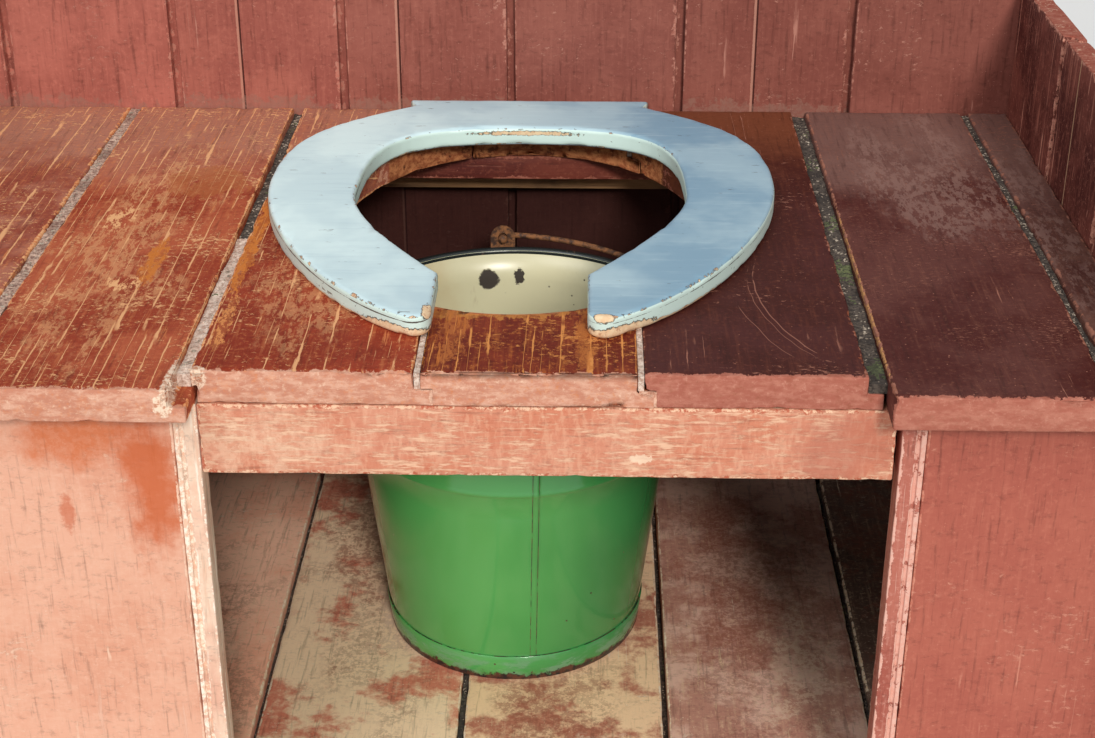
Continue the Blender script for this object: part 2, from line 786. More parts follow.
def slice_across(bm: Mesh, axis: int, places: Iterable[float]) -> None:
    """Cuts every face at the given places along an axis, so that the surface can be shaped."""
    normal = Vector([float(i == axis) for i in range(3)])
    for place in places:
        bmesh.ops.bisect_plane(bm, geom=bm.verts[:] + bm.edges[:] + bm.faces[:], dist=1e-6,
                               plane_co=normal * place, plane_no=normal)


def spaced(low: float, high: float, step: float) -> list[float]:
    """Even places strictly between low and high."""
    count = max(1, round((high - low) / step))
    return [low + (high - low) * i / count for i in range(1, count)]


def shift_all(bm: Mesh, moves: Iterable[Vector]) -> None:
    """Moves every vertex by its own amount, after all of them have been read."""
    for v, move in zip(bm.verts, list(moves)):
        v.co += move


@dataclass(frozen=True)
class OvalHole:
    """The oval hole under the seat: two round ends joined by long flat arcs."""

    x: float = 0.059
    y: float = 0.024
    end_r: float = 0.130
    end_y: float = 0.064
    half_w: float = 0.151

    def half_length(self, x: float) -> float:
        """How far the hole reaches to the front and back at an x, or 0 outside it."""
        away = abs(x - self.x)
        return self.end_y + math.sqrt(self.end_r ** 2 - away ** 2) if away < self.end_r else 0.0

    def edge(self, place: Vector) -> bool:
        """Whether a place is on the hole's sawn edge."""
        x, y = abs(place.x - self.x), abs(place.y - self.y)
        side_r = (self.half_w ** 2 + self.end_y ** 2 - self.end_r ** 2) / (2 * (self.half_w - self.end_r))
        off = math.hypot(x + side_r - self.half_w, y) - side_r
        if y > self.end_y:
            off = max(math.hypot(x, y - self.end_y) - self.end_r, off if y < 1.3 * self.end_y else -1.0)
        return off < 1.2 * MM


@dataclass
class Board:
    """A board made from its CAD node, with worn arrises.

    Attributes:
        node: The CAD node.
        finish: Its material.
        grain: The grain's axis.
        slot: The record's material slot.
        arris: Radius of its rounded arrises, in metres.
        chip: Depth of the chips along the arrises, in metres.
        step: Spacing of the shaped grid, along the grain and across it, in metres.
        front: Whether its front end is faded back onto its face.
        hole: The oval hole that cuts it, if any.
        dip: How far its face swells and sinks, in metres.
        sharp: How far an edge turns to count as an arris, in degrees.
    """

    node: str
    finish: Paint
    grain: Grain
    slot: str
    arris: float
    chip: float
    step: tuple[float, float]
    front: bool = False
    hole: OvalHole | None = None
    dip: float = 0.5 * MM
    sharp: float = 40.0

    def build(self) -> None:
        """Builds the board and hands it over."""
        low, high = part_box(self.node)
        bm = loose_copy(self.node)
        worn = bm.faces.layers.int.new("worn")
        arrises = [e for e in bm.edges
                   if len(e.link_faces) == 2 and e.calc_face_angle() > math.radians(self.sharp)]
        for face in round_over(bm, arrises, self.arris, 3):
            face[worn] = 1
        for axis in range(3):
            along = axis == self.grain.value
            slice_across(bm, axis, spaced(low[axis], high[axis], self.step[0 if along else 1]))
            if not along and high[axis] - low[axis] > 60 * MM:
                slice_across(bm, axis, (low[axis] + 2 * self.arris, high[axis] - 2 * self.arris))
        if self.front:
            slice_across(bm, 1, (low.y + 4 * MM, low.y + 6 * MM, low.y + 9 * MM))
        self.weather(bm, low, worn)
        hand_over(bm, f"{self.node}-worn", self.slot, [self.finish], self.node)

    def weather(self, bm: Mesh, low: Vector, worn: bmesh.types.BMLayerItem) -> None:
        """Chips the arrises, bends the faces a little and notes the wear on the vertices."""
        arris, ends, bore = (bm.verts.layers.float.new(name) for name in ("arris", "ends", "bore"))
        bm.normal_update()
        moves = []
        for v in bm.verts:
            near = 1.0 if any(f[worn] for f in v.link_faces) else 0.0
            end = smooth(abs(v.normal[self.grain.value]), 0.25, 0.75)
            if self.front:
                end = max(end, 0.60 * smooth(v.co.y, low.y + 9 * MM, low.y + 1 * MM))
            v[arris], v[ends] = near, end
            if self.hole and self.hole.edge(v.co):
                v[bore], v[ends] = 1.0, 0.0
            bite = noise.noise(v.co * 55.0) + 0.7 * noise.noise(v.co * 170.0)
            depth = near * self.chip * (0.15 + max(0.0, bite - 0.10) * (1.0 + end))
            swell = min(0.0, noise.noise(v.co * 9.0) - 0.1) * self.dip
            moves.append(v.normal * (swell - depth))
        shift_all(bm, moves)


@dataclass
class TopBoards:
    """The boards of the bench top, from the left end to the right one."""

    arris: float = 2.2 * MM
    chip: float = 2.0 * MM
    step: tuple[float, float] = (7 * MM, 6 * MM)

    def spot(self, x: float, y: float, across: float, along: float, colour: Triple, ragged: float,
             **how: float) -> Patch:
        """A worn spot on the top, ragged along the grain."""
        return Patch((x, y, TOP_Z), (across, along, 0.1), colour, ragged, stretch=(1.0, 0.35, 1.0), **how)

    def left_finishes(self) -> dict[str, WornPaint]:
        """The paint of the left boards: red, with golden wear, and dusty towards the wall."""
        dusty = Fade(1, 0.03, 0.22, tone(178, 122, 102), 0.85)
        wear = dict(under=tone(214, 132, 84), fleck=tone(238, 178, 128), fades=(dusty,),
                    end_coat=tone(194, 132, 108), end_second=tone(216, 166, 142), hard=0.07, gloss=0.08,
                    rough=0.6, dash_size=300.0, dash_flat=0.6)
        middle = {**wear, "under": tone(208, 124, 62), "fleck": tone(226, 150, 84), "fades": ()}
        gold, pale, wood = tone(206, 122, 56), tone(236, 178, 126), tone(238, 212, 188)
        spot = self.spot
        inner = (spot(-0.245, -0.040, 0.050, 0.220, pale, 1.4, share=0.4, grit=1.0, soft=0.6),
                 spot(-0.213, -0.085, 0.008, 0.045, gold, 0.7, grit=0.6),
                 spot(-0.200, 0.085, 0.030, 0.040, tone(178, 104, 60), 1.2, share=0.5),
                 spot(-0.226, -0.122, 0.012, 0.012, pale, 0.9, grit=1.0),
                 spot(-0.257, 0.000, 0.012, 0.026, pale, 1.1, grit=1.0))
        seat_left = (spot(-0.090, -0.100, 0.050, 0.120, pale, 1.4, share=0.35, grit=1.0, soft=0.6),
                     spot(-0.145, -0.030, 0.007, 0.110, gold, 0.8, grit=0.5),
                     spot(-0.141, -0.190, 0.005, 0.050, tone(216, 140, 84), 1.0, grit=0.8))
        seat_middle = (spot(0.045, -0.168, 0.060, 0.012, tone(200, 132, 68), 1.3, share=0.8, grit=0.5),
                       spot(0.112, -0.205, 0.007, 0.050, tone(196, 118, 60), 1.2, share=0.7, grit=0.6),
                       spot(0.020, -0.205, 0.009, 0.045, tone(190, 112, 60), 1.3, share=0.7, grit=0.7))
        inner_scars = (Patch((-0.1605, -0.278, 0.410), (0.0050, 0.036, 0.014), wood, 0.30),
                       Patch((-0.1640, -0.291, 0.400), (0.0070, 0.010, 0.009), wood, 0.30))
        seat_scar = Patch((-0.1490, -0.262, 0.406), (0.0090, 0.007, 0.010), wood, 0.30)
        return {
            "left_edge_board": WornPaint(
                "paint_left_edge", Grain.Y, 1.0, tone(152, 76, 60), tone(178, 111, 92),
                scratches=0.8, dashes=0.5, **wear),
            "left_outer_board": WornPaint(
                "paint_left_outer", Grain.Y, 2.0, tone(148, 72, 55), tone(174, 108, 88),
                streaks=0.52, scratches=0.9, dashes=0.56, **wear),
            "left_inner_board": WornPaint(
                "paint_left_inner", Grain.Y, 3.0, tone(150, 60, 39), tone(178, 88, 60),
                scratches=1.0, dashes=0.62, patches=inner, scars=inner_scars, **wear),
            "seat_board_left": WornPaint(
                "paint_seat_left", Grain.Y, 4.0, tone(156, 62, 40), tone(136, 50, 32),
                streaks=0.4, scratches=0.9, dashes=0.56, patches=seat_left, scars=(seat_scar,), **wear),
            "seat_board_middle_front": WornPaint(
                "paint_seat_middle", Grain.Y, 5.0, tone(128, 51, 33), tone(106, 38, 26),
                streaks=0.6, scratches=1.0, dashes=0.50, patches=seat_middle, **middle),
            "seat_board_middle_back": WornPaint(
                "paint_seat_back", Grain.Y, 6.0, tone(130, 66, 48), tone(150, 84, 58),
                scratches=0.4, **wear)}

    def right_finishes(self) -> dict[str, WornPaint]:
        """The paint of the right boards: darker, browner and glossier."""
        wear = dict(fleck=tone(168, 114, 96), end_coat=tone(166, 98, 82), end_second=tone(182, 118, 100),
                    end_fleck=tone(204, 146, 126), rough=0.55, gloss=0.07, arris=0.42, fibres=0.5,
                    scratches=0.2)
        rub = Patch((0.250, -0.165, TOP_Z), (0.032, 0.095, 0.1), CREAM, 0.5, 0.7, soft=0.3)
        arcs = tuple(Arc((0.452, -0.114), radius, width * MM, rub)
                     for radius, width in ((0.2170, 0.55), (0.2215, 0.3), (0.2340, 0.35)))
        rear = (Fade(1, 0.00, 0.18, tone(126, 92, 84), 0.85),)
        seat_rear = (Fade(1, 0.06, 0.22, tone(128, 72, 48), 0.75),)
        dust = dict(colour=tone(152, 118, 108), ragged=1.4, grit=1.0, share=0.5, soft=0.7)
        bare_arris = Patch((0.313, -0.120, 0.411), (0.0013, 0.16, 0.004), tone(206, 150, 98), 0.5, 0.9)
        return {
            "seat_board_right": WornPaint(
                "paint_seat_right", Grain.Y, 7.0, tone(66, 27, 22), tone(76, 36, 33), under=tone(140, 80, 58),
                streaks=0.15, dashes=0.30, fades=seat_rear, arcs=arcs, **wear),
            "right_board": WornPaint(
                "paint_right", Grain.Y, 8.0, tone(76, 32, 28), tone(96, 54, 48), under=tone(154, 100, 80),
                streaks=0.25, dashes=0.46, dash_size=420.0, dash_soft=0.1, specks=0.4, fades=rear,
                patches=(self.spot(0.400, 0.10, 0.07, 0.18, **dust), bare_arris), **wear),
            "right_edge_board": WornPaint(
                "paint_right_edge", Grain.Y, 9.0, tone(108, 72, 62), tone(88, 50, 44),
                under=tone(158, 104, 84), streaks=0.3, dashes=0.5, dash_size=380.0, specks=0.4, fades=rear,
                patches=(self.spot(0.480, 0.00, 0.03, 0.24, **dust),), **wear)}

    def build(self) -> None:
        """Builds every top board."""
        for node, finish in {**self.left_finishes(), **self.right_finishes()}.items():
            hole = OvalHole() if node.startswith("seat_board") else None
            Board(node, finish.material(), Grain.Y, "top_paint", self.arris, self.chip, self.step,
                  front=node != "seat_board_middle_back", hole=hole).build()


@dataclass
class FrontFace:
    """The rail over the opening, the panels beside it and their edge strips."""

    front: float = -0.2635

    def mark(self, x: float, z: float, across: float, up: float, *how: Triple | float) -> Patch:
        """A place on the front where the paint differs."""
        return Patch((x, self.front, z), (across, 0.1, up), *how)

    def finishes(self) -> dict[str, WornPaint]:
        """The faded paint of the front, palest at the left strip."""
        ends = dict(end_coat=tone(196, 120, 98), end_second=tone(214, 150, 126), rough=0.65)
        rail = (self.mark(-0.115, 0.360, 0.070, 0.0340, tone(236, 200, 170), 1.0, 0.5, 0.5, 0.8),
                self.mark(0.285, 0.356, 0.050, 0.0400, tone(176, 104, 84), 0.6, 0.6, 0.0, 0.6),
                self.mark(0.150, 0.348, 0.008, 0.0035, tone(240, 208, 180), 0.7, 0.8))
        orange = (self.mark(-0.185, 0.330, 0.030, 0.085, tone(192, 92, 46), 0.5, 0.85, 0.0, 0.75),
                  self.mark(-0.235, 0.362, 0.060, 0.034, tone(202, 106, 58), 0.5, 0.8, 0.2, 0.7),
                  self.mark(-0.245, 0.300, 0.006, 0.018, tone(190, 90, 50), 0.5, 0.6, 0.0, 0.5))
        return {
            "front_rail": WornPaint(
                "paint_rail", Grain.X, 11.0, tone(204, 128, 99), tone(212, 147, 120),
                under=tone(184, 100, 74), fleck=tone(232, 190, 158), streaks=0.3, scratches=0.2, dashes=1.0,
                dash_size=330.0, dash_soft=0.12, dash_flat=0.16, ripple=0.5, specks=0.15, patches=rail,
                **ends),
            "left_front_panel": WornPaint(
                "paint_left_panel", Grain.Z, 12.0, tone(214, 152, 125), tone(222, 167, 141),
                under=tone(228, 180, 156), fleck=tone(234, 196, 170), streaks=0.4, scratches=0.3, dashes=0.45,
                dash_soft=0.12, specks=0.2, ripple=0.25, patches=orange, **ends),
            "left_opening_strip": WornPaint(
                "paint_left_strip", Grain.Z, 13.0, tone(236, 208, 184), tone(222, 172, 148),
                under=tone(232, 188, 160), fleck=tone(248, 232, 214), streaks=0.7, scratches=0.8, dashes=0.2,
                **ends),
            "right_opening_strip": WornPaint(
                "paint_right_strip", Grain.Z, 14.0, tone(162, 86, 72), tone(178, 104, 88),
                under=tone(222, 164, 146), fleck=tone(224, 176, 160), dashes=0.2, arris=0.75, **ends),
            "right_front_panel": WornPaint(
                "paint_right_panel", Grain.Z, 15.0, tone(174, 96, 79), tone(166, 88, 73),
                under=tone(190, 114, 94), fleck=tone(206, 138, 116), streaks=0.3, scratches=0.15, dashes=0.45,
                dash_soft=0.12, specks=0.2, **ends)}

    def build(self) -> None:
        """Builds the five front boards."""
        for node, finish in self.finishes().items():
            arris, chip, across = (0.9, 0.8, 4) if node.endswith("strip") else (1.6, 1.6, 7)
            Board(node, finish.material(), finish.grain, "front_paint", arris * MM, chip * MM,
                  (8 * MM, across * MM)).build()


@dataclass
class FloorAndWalls:
    """The floor boards and the low walls round the bench.

    Attributes:
        pitch: Width of a floor board.
        first_x: Middle of the floor board before the first.
        end_x: Inner face of the right end wall.
        seam_z: Middle height of the walls' seams.
        skin: How deep the inside's dirt reaches into the walls, past their laps.
        cracks: Where a back board is split, by its number.
        light: How light each back board is.
    """

    pitch: float = 0.1685
    first_x: float = -0.578
    end_x: float = 0.497
    seam_z: float = 0.47
    skin: float = 0.014
    cracks: tuple[tuple[int, float], ...] = ((3, -0.207), (4, -0.062), (6, 0.262))
    light: tuple[float, ...] = (1.22, 1.22, 1.16, 1.05, 1.01, 0.99, 0.97)

    def build(self) -> None:
        """Builds the floor, the back wall and both end walls."""
        floor, walls = (1.8, 1.8, 12, 10), (1.6, 1.2, 14, 12)
        for finishes, slot, (arris, chip, along, across) in (
                (self.floor_finishes(), "floor_boards", floor), (self.wall_finishes(), "wall_boards", walls)):
            for node, finish in finishes.items():
                Board(node, finish.material(), finish.grain, slot, arris * MM, chip * MM,
                      (along * MM, across * MM)).build()

    def floor_finishes(self) -> dict[str, WornPaint]:
        """Trodden floor paint: reddish at the left, bare and tan in the middle, grey at the right."""
        wear = dict(under=tone(234, 196, 160), fleck=tone(244, 220, 194), end_coat=tone(160, 118, 96),
                    end_second=tone(186, 146, 120), rough=0.8, gloss=0.1, streaks=0.4, dashes=0.36,
                    scratches=0.15, dash_soft=0.1)
        looks = ((tone(226, 162, 138), tone(236, 184, 160), 6.0, 0.10, 0.50, 0.05),
                 (tone(246, 178, 148), tone(252, 198, 168), 9.0, 0.08, 0.50, -0.10),
                 (tone(216, 130, 104), tone(255, 220, 182), 11.0, 0.05, 0.46, 0.12),
                 (tone(192, 122, 98), tone(250, 208, 166), 14.0, 0.05, 0.49, -0.16),
                 (tone(192, 136, 118), tone(226, 180, 160), 16.0, 0.07, 0.50, 0.02),
                 (tone(110, 84, 72), tone(124, 96, 84), 6.0, 0.10, 0.50, 0.10))
        grime = ((0.00, 0.00, 0.09, 0.26, tone(118, 66, 54), 1.2, 0.32, 1.0),
                 (-0.02, 0.05, 0.05, 0.16, tone(160, 92, 72), 1.6, 0.5, 0.6),
                 (0.03, -0.08, 0.04, 0.10, tone(250, 216, 186), 1.4, 0.5, 1.0))
        made = {}
        for i, (*look, y) in enumerate(looks, 1):
            x = self.first_x + self.pitch * i
            patches = tuple(Patch((x + dx, y + dy, FLOOR_Z), (across, along, 0.1), *how, 0.6)
                            for dx, dy, across, along, *how in grime)
            made[f"floor_board_{i}"] = WornPaint(f"floor_{i}", Grain.Y, 20.0 + i, *look, patches=patches,
                                                 **wear)
        return made

    def wall_finishes(self) -> dict[str, WornPaint]:
        """Brick-red wall paint, a little smeared, with split seams in three boards."""
        wear = dict(end_coat=tone(146, 76, 62), end_second=tone(168, 104, 88), rough=0.7, gloss=0.1)
        inside = Patch((0.0, WALL_Y, 0.2), (9.0, self.skin, 9.0), CREAM, 0.0)
        dark = Fade(2, 0.395, 0.350, tone(34, 16, 15), 0.88, inside)
        cracks = dict(self.cracks)
        looks = {}
        for i, light in enumerate(self.light, 1):
            coat, second, under = (tone(*(round(part * light) for part in parts))
                                   for parts in ((148, 88, 76), (134, 76, 66), (164, 102, 88)))
            x = cracks.get(i)
            split = () if x is None else (
                Patch((x, WALL_Y, self.seam_z), (1.2 * MM, self.skin, 0.3), tone(196, 142, 122), 0.45, 0.7),
                Patch((x + 2 * MM, WALL_Y, self.seam_z), (0.9 * MM, self.skin, 0.3), tone(60, 28, 24), 0.35,
                      0.9))
            dust = Patch((-0.4 if x is None else x, WALL_Y, 0.405), (0.11, self.skin, 0.018),
                         tone(150, 112, 98), 0.9, 0.6, 0.5)
            looks[f"back_board_{i}"] = WornPaint(
                f"back_wall_{i}", Grain.Z, 30.0 + i, coat, second, under=under, fleck=tone(188, 130, 114),
                streaks=0.3, scratches=0.15, dashes=0.36, specks=0.25, arris=0.38,
                patches=(*split, dust), dirt=(dark,), **wear)
        for side, x in (("left", -self.end_x), ("right", self.end_x)):
            inside = Patch((x, 0.0, 0.2), (self.skin, 9.0, 9.0), CREAM, 0.0)
            seam = Patch((x, 0.050, self.seam_z), (self.skin, 1.2 * MM, 0.3), tone(206, 168, 134), 0.5, 0.85)
            looks[f"{side}_end_boards"] = WornPaint(
                f"{side}_end_wall", Grain.Z, 40.0 + len(side), tone(130, 72, 62), tone(84, 40, 36),
                under=tone(186, 120, 102), fleck=tone(222, 160, 138), streaks=0.72, scratches=0.6,
                dashes=0.25, patches=(seam,), dirt=(replace(dark, within=inside),), **wear)
        return looks


@dataclass
class FrameTimbers:
    """The hidden timbers that carry the boards, and the batten behind the hole."""

    def build(self) -> None:
        """Builds the posts, the bearer, the ledger and the batten."""
        for grain, nodes in ((Grain.Z, ("left_post", "right_post")),
                             (Grain.X, ("front_bearer", "rear_ledger"))):
            wood = RawWood(f"raw_wood_{grain.name.lower()}", grain).material()
            for node in nodes:
                Board(node, wood, grain, "frame_timber", 1.5 * MM, 1.0 * MM, (25 * MM, 12 * MM)).build()
        batten = WornPaint("paint_batten", Grain.X, 50.0, tone(120, 58, 46), tone(98, 44, 38),
                           under=tone(150, 84, 66), fleck=tone(176, 110, 92), streaks=0.4, scratches=0.3)
        Board("hole_batten", batten.material(), Grain.X, "wall_boards", 1.5 * MM, 1.2 * MM,
              (10 * MM, 8 * MM)).build()


def cubic(points: Sequence[tuple[float, float]], steps: int) -> list[Vector]:
    """Points along a cubic curve, both ends included."""
    found = []
    for i in range(steps + 1):
        t = i / steps
        weights = ((1 - t) ** 3, 3 * (1 - t) ** 2 * t, 3 * (1 - t) * t * t, t ** 3)
        x, y = (sum(w * p[axis] for w, p in zip(weights, points)) for axis in (0, 1))
        found.append(Vector((x, y, 0.0)))
    return found


@dataclass
class HorseshoeSeat:
    """The loose seat: one board sawn to a horseshoe, its arrises rounded and chipped.

    Sizes are in metres, and its outline is measured from its middle line and its rear edge.

    Attributes:
        levels: Heights of the cuts round its sides, as shares of its thickness.
        line_level: Height of the crack in the paint round its sides.
    """

    width: float = 0.408
    tab_w: float = 0.216
    tab_step: float = 0.015
    rear_rim_w: float = 0.074
    opening_w: float = 0.264
    opening_l: float = 0.312
    gap: float = 0.108
    prong_l: float = 0.075
    corner_r: float = 0.012
    round_r: float = 0.0035
    steps: int = 34
    grid: float = 0.0075
    levels: tuple[float, ...] = (0.35, 0.5, 0.62, 0.69, 0.74)
    line_level: float = 0.69

    def half_outline(self, rear_y: float) -> list[Vector]:
        """The right half of the outline, from the tab's corner round to the opening's rear."""
        opening_y = rear_y - self.rear_rim_w
        prong_y = opening_y - self.opening_l
        front_y = prong_y - self.prong_l
        inner_wide_y = opening_y - self.opening_l * 0.485
        outer_wide_y = inner_wide_y + 0.027
        w, tab, shoulder = self.width / 2, self.tab_w / 2, rear_y - self.tab_step
        rear_d, front_d = shoulder - outer_wide_y, outer_wide_y - front_y
        g, iw, r = self.gap / 2, self.opening_w / 2, self.corner_r
        rise, run = math.sin(math.radians(60)), math.cos(math.radians(60))
        tip = (g + r * 1.5, front_y + r * (1 - rise))
        outer = [Vector((tab, rear_y, 0.0))]
        outer += cubic([(tab - 0.006, shoulder), (w * 0.81, shoulder - rear_d * 0.25),
                        (w * 1.01, shoulder - rear_d * 0.41), (w, outer_wide_y)], self.steps)
        outer += cubic([(w, outer_wide_y), (w, outer_wide_y - front_d * 0.37),
                        (tip[0] + front_d * 0.27 * rise, tip[1] + front_d * 0.27 * run), tip], self.steps)[1:]
        inner = [Vector((g + r + r * math.cos(a), front_y + r + r * math.sin(a), 0.0))
                 for a in (math.radians(285 - 15 * i) for i in range(8))]
        front_in, rear_in = inner_wide_y - prong_y, opening_y - inner_wide_y
        inner += cubic([(g, prong_y), (g + (iw - g) * 0.53, prong_y + front_in * 0.35),
                        (iw, inner_wide_y - front_in * 0.28), (iw, inner_wide_y)], self.steps)
        inner += cubic([(iw, inner_wide_y), (iw, inner_wide_y + rear_in * 0.7),
                        (iw * 0.9, opening_y), (0.0, opening_y)], self.steps)[1:]
        return outer + inner

    def build(self) -> None:
        """Builds the seat."""
        low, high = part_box("seat_ring")
        middle = (low.x + high.x) / 2
        half = self.half_outline(high.y)
        mirror = [Vector((-p.x, p.y, 0.0)) for p in reversed(half[:-1])]
        bm = bmesh.new()
        face = bm.faces.new([bm.verts.new((p.x + middle, p.y, low.z)) for p in half + mirror])
        raised = bmesh.ops.extrude_face_region(bm, geom=[face])["geom"]
        tops = [v for v in raised if isinstance(v, bmesh.types.BMVert)]
        bmesh.ops.translate(bm, verts=tops, vec=(0.0, 0.0, high.z - low.z))
        bmesh.ops.remove_doubles(bm, verts=bm.verts, dist=1e-5)
        bmesh.ops.recalc_face_normals(bm, faces=bm.faces)
        level = [e for e in bm.edges if abs(e.verts[0].co.z - e.verts[1].co.z) < 1e-6]
        round_over(bm, level, self.round_r, 4)
        for axis in (0, 1):
            slice_across(bm, axis, spaced(low[axis], high[axis], self.grid))
        slice_across(bm, 2, [low.z + share * (high.z - low.z) for share in self.levels])
        self.wear(bm, low, high)
        hand_over(bm, "horseshoe_seat", "seat_paint", [SeatPaint().material()], "seat_ring")

    def wear(self, bm: Mesh, low: Vector, high: Vector) -> None:
        """Chips the arrises and notes them, the sides, the foot and a crack line on the vertices."""
        layers = bm.verts.layers.float
        arris, sides, foot, line = (layers.new(name) for name in ("arris", "sides", "foot", "line"))
        line_z = low.z + self.line_level * (high.z - low.z)
        bm.normal_update()
        moves = []
        for v in bm.verts:
            flat = abs(v.normal.z)
            curve = smooth(flat, 0.05, 0.3) * smooth(flat, 0.995, 0.9)
            front = smooth(v.co.y, -0.06, -0.19)
            v[arris] = curve * (1.0 if v.normal.z < 0 else 0.90 + 0.12 * front)
            v[sides] = smooth(flat, 0.75, 0.3)
            sunk = smooth(v.co.z, low.z + 7 * MM, low.z + 1 * MM) * smooth(flat, 0.98, 0.7)
            v[foot] = sunk * (0.5 + 0.6 * front)
            outer = v.co.y < 0.1 and abs(v.co.x - (low.x + high.x) / 2) > 0.05 and flat < 0.4
            cracked = outer and abs(v.co.z - line_z) < 0.3 * MM
            v[line] = (1.0 if v.co.x < 0.03 else 0.7) if cracked else 0.0
            bite = noise.noise(v.co * 60.0) + 0.6 * noise.noise(v.co * 190.0)
            dip = 0.35 * MM * min(0.0, noise.noise(v.co * 13.0))
            moves.append(v.normal * (dip - curve * 1.6 * MM * max(0.0, bite - 0.12)))
        shift_all(bm, moves)


@dataclass
class Bucket:
    """The enamelled bucket: flared wall with a bead, rolled rim, foot band and base.

    Sizes are in metres and degrees, with the bucket's axis and foot taken from the frame.

    Attributes:
        levels: Heights of the wall's rings below the bead, over the base.
        upper: Heights of the wall's rings over the bead.
        rear_turn: Where the rear ear is, round the axis.
        chip_turn: How far the chips in the cream enamel are from it, in radians.
    """

    sheet: float = 0.0015
    rim_r: float = 0.004
    foot_band_r: float = 0.111
    foot_band_h: float = 0.025
    bead_z: float = 0.195
    bead_h: float = 0.007
    bead_out: float = 0.0014
    base_z: float = 0.010
    seam_turn: float = 10.0
    seam_w: float = 0.004
    seam_step: float = 0.0004
    seam_out: float = 0.0008
    levels: tuple[float, ...] = (0.02, 0.06, 0.1, 0.14, 0.17)
    upper: tuple[float, ...] = (0.22, 0.24, 0.26)
    rear_turn: float = 95.6
    chip_turn: float = 0.10
    steps: int = 144
    axis: Vector = field(init=False)
    rim_top: float = field(init=False)
    top_r: float = field(init=False)
    foot_r: float = field(init=False)

    def __post_init__(self) -> None:
        """Reads the bucket's place and radii off the frame."""
        low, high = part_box("bucket_rim")
        foot_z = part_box("bucket_foot_band")[0].z
        self.axis = Vector(((low.x + high.x) / 2, (low.y + high.y) / 2, foot_z))
        self.rim_top = high.z - foot_z
        self.top_r = (high.x - low.x) / 2 - 1.5 * self.rim_r
        self.foot_r = self.foot_band_r - self.sheet

    def wall_r(self, z: float) -> float:
        """Outer radius of the wall at a height over the foot."""
        return self.foot_r + (self.top_r - self.foot_r) * z / (self.rim_top - self.rim_r / 2)

    def spun(self, outline: Sequence[tuple[float, float]]) -> Mesh:
        """Spins a closed outline of radius and height round the bucket's axis, with its faces outwards."""
        bm = bmesh.new()
        points = [bm.verts.new(self.axis + Vector((r, 0.0, z))) for r, z in outline]
        edges = [bm.edges.new(pair) for pair in zip(points, points[1:])]
        edges.append(bm.edges.new((points[-1], points[0])))
        bmesh.ops.spin(bm, geom=points + edges, cent=self.axis, axis=(0.0, 0.0, 1.0), angle=2 * math.pi,
                       steps=self.steps, use_merge=True, use_duplicate=False)
        bmesh.ops.remove_doubles(bm, verts=bm.verts, dist=1e-6)
        bmesh.ops.recalc_face_normals(bm, faces=bm.faces)
        return bm

    def chip(self, side: float, z: float, reach: Triple, ragged: float) -> Patch:
        """A chip in the cream enamel beside the rear ear."""
        turn = math.radians(self.rear_turn) + side * self.chip_turn
        wall = self.wall_r(0.25) - self.sheet
        place = self.axis + Vector((wall * math.cos(turn), wall * math.sin(turn), z))
        return Patch(tuple(place), reach, tone(58, 50, 42), ragged)

    def build(self) -> None:
        """Builds the wall, rim, foot band and base."""
        green = GreenEnamel(self.axis.z).material()
        cream = CreamEnamel(self.axis.x, (self.chip(1, 0.262, (0.010, 0.012, 0.010), 0.25),
                                          self.chip(-1, 0.264, (0.005, 0.012, 0.008), 0.5))).material()
        self.build_wall(green, cream)
        self.build_rim()
        self.build_foot(green)
        self.build_base(cream, green)

    def build_wall(self, green: Paint, cream: Paint) -> None:
        """Builds the wall with its bead and side seam: green outside and cream inside."""
        top = self.rim_top - self.rim_r / 2
        below, above = (self.base_z, *self.levels), (*self.upper, top)
        bead = [(self.wall_r(self.bead_z + self.bead_h * t) + self.bead_out * math.cos(math.pi * t),
                 self.bead_z + self.bead_h * t) for t in (-0.5, -0.33, -0.17, 0.0, 0.17, 0.33, 0.5)]
        outer = [(self.wall_r(z), z) for z in below] + bead + [(self.wall_r(z), z) for z in above]
        inner = [(self.wall_r(z) - self.sheet, z) for z in reversed(below + above)]
        bm = self.spun(outer + inner)
        for f in bm.faces:
            centre = f.calc_center_median() - self.axis
            f.material_index = 1 if f.normal.x * centre.x + f.normal.y * centre.y < 0 else 0
        self.raise_seam(bm)
        hand_over(bm, "bucket_wall", "bucket_enamel", [green, cream], "bucket_shell")

    def raise_seam(self, bm: Mesh) -> None:
        """Cuts the lap of the side seam into the wall, lifts it and notes its border on the vertices."""
        line = bm.verts.layers.float.new("line")
        turn, half = math.radians(self.seam_turn), 0.5 * self.seam_w
        out = Vector((math.sin(turn), -math.cos(turn), 0.0))
        side = Vector((math.cos(turn), math.sin(turn), 0.0))
        for shift in (-half - self.seam_step, -half, half, half + self.seam_step):
            near = [f for f in bm.faces if (f.calc_center_median() - self.axis).dot(out) > 0.05
                    and abs((f.calc_center_median() - self.axis).dot(side)) < 0.02]
            geom = set(near)
            for f in near:
                geom.update(f.edges)
                geom.update(f.verts)
            bmesh.ops.bisect_plane(bm, geom=list(geom), dist=1e-6, plane_co=self.axis + side * shift,
                                   plane_no=side)
        ear_low = self.rim_top - 2 * self.rim_r - 0.042
        for v in bm.verts:
            away = v.co - self.axis
            if away.dot(out) < 0.05:
                continue
            across = abs(away.dot(side))
            on_outside = math.hypot(away.x, away.y) >= self.wall_r(away.z) - 0.5 * self.sheet
            if across > half + 1e-5:
                v[line] = 1.0 if abs(across - half - self.seam_step) < 1e-4 else 0.0
            elif on_outside and 0.02 <= away.z <= ear_low:
                v.co += out * self.seam_out

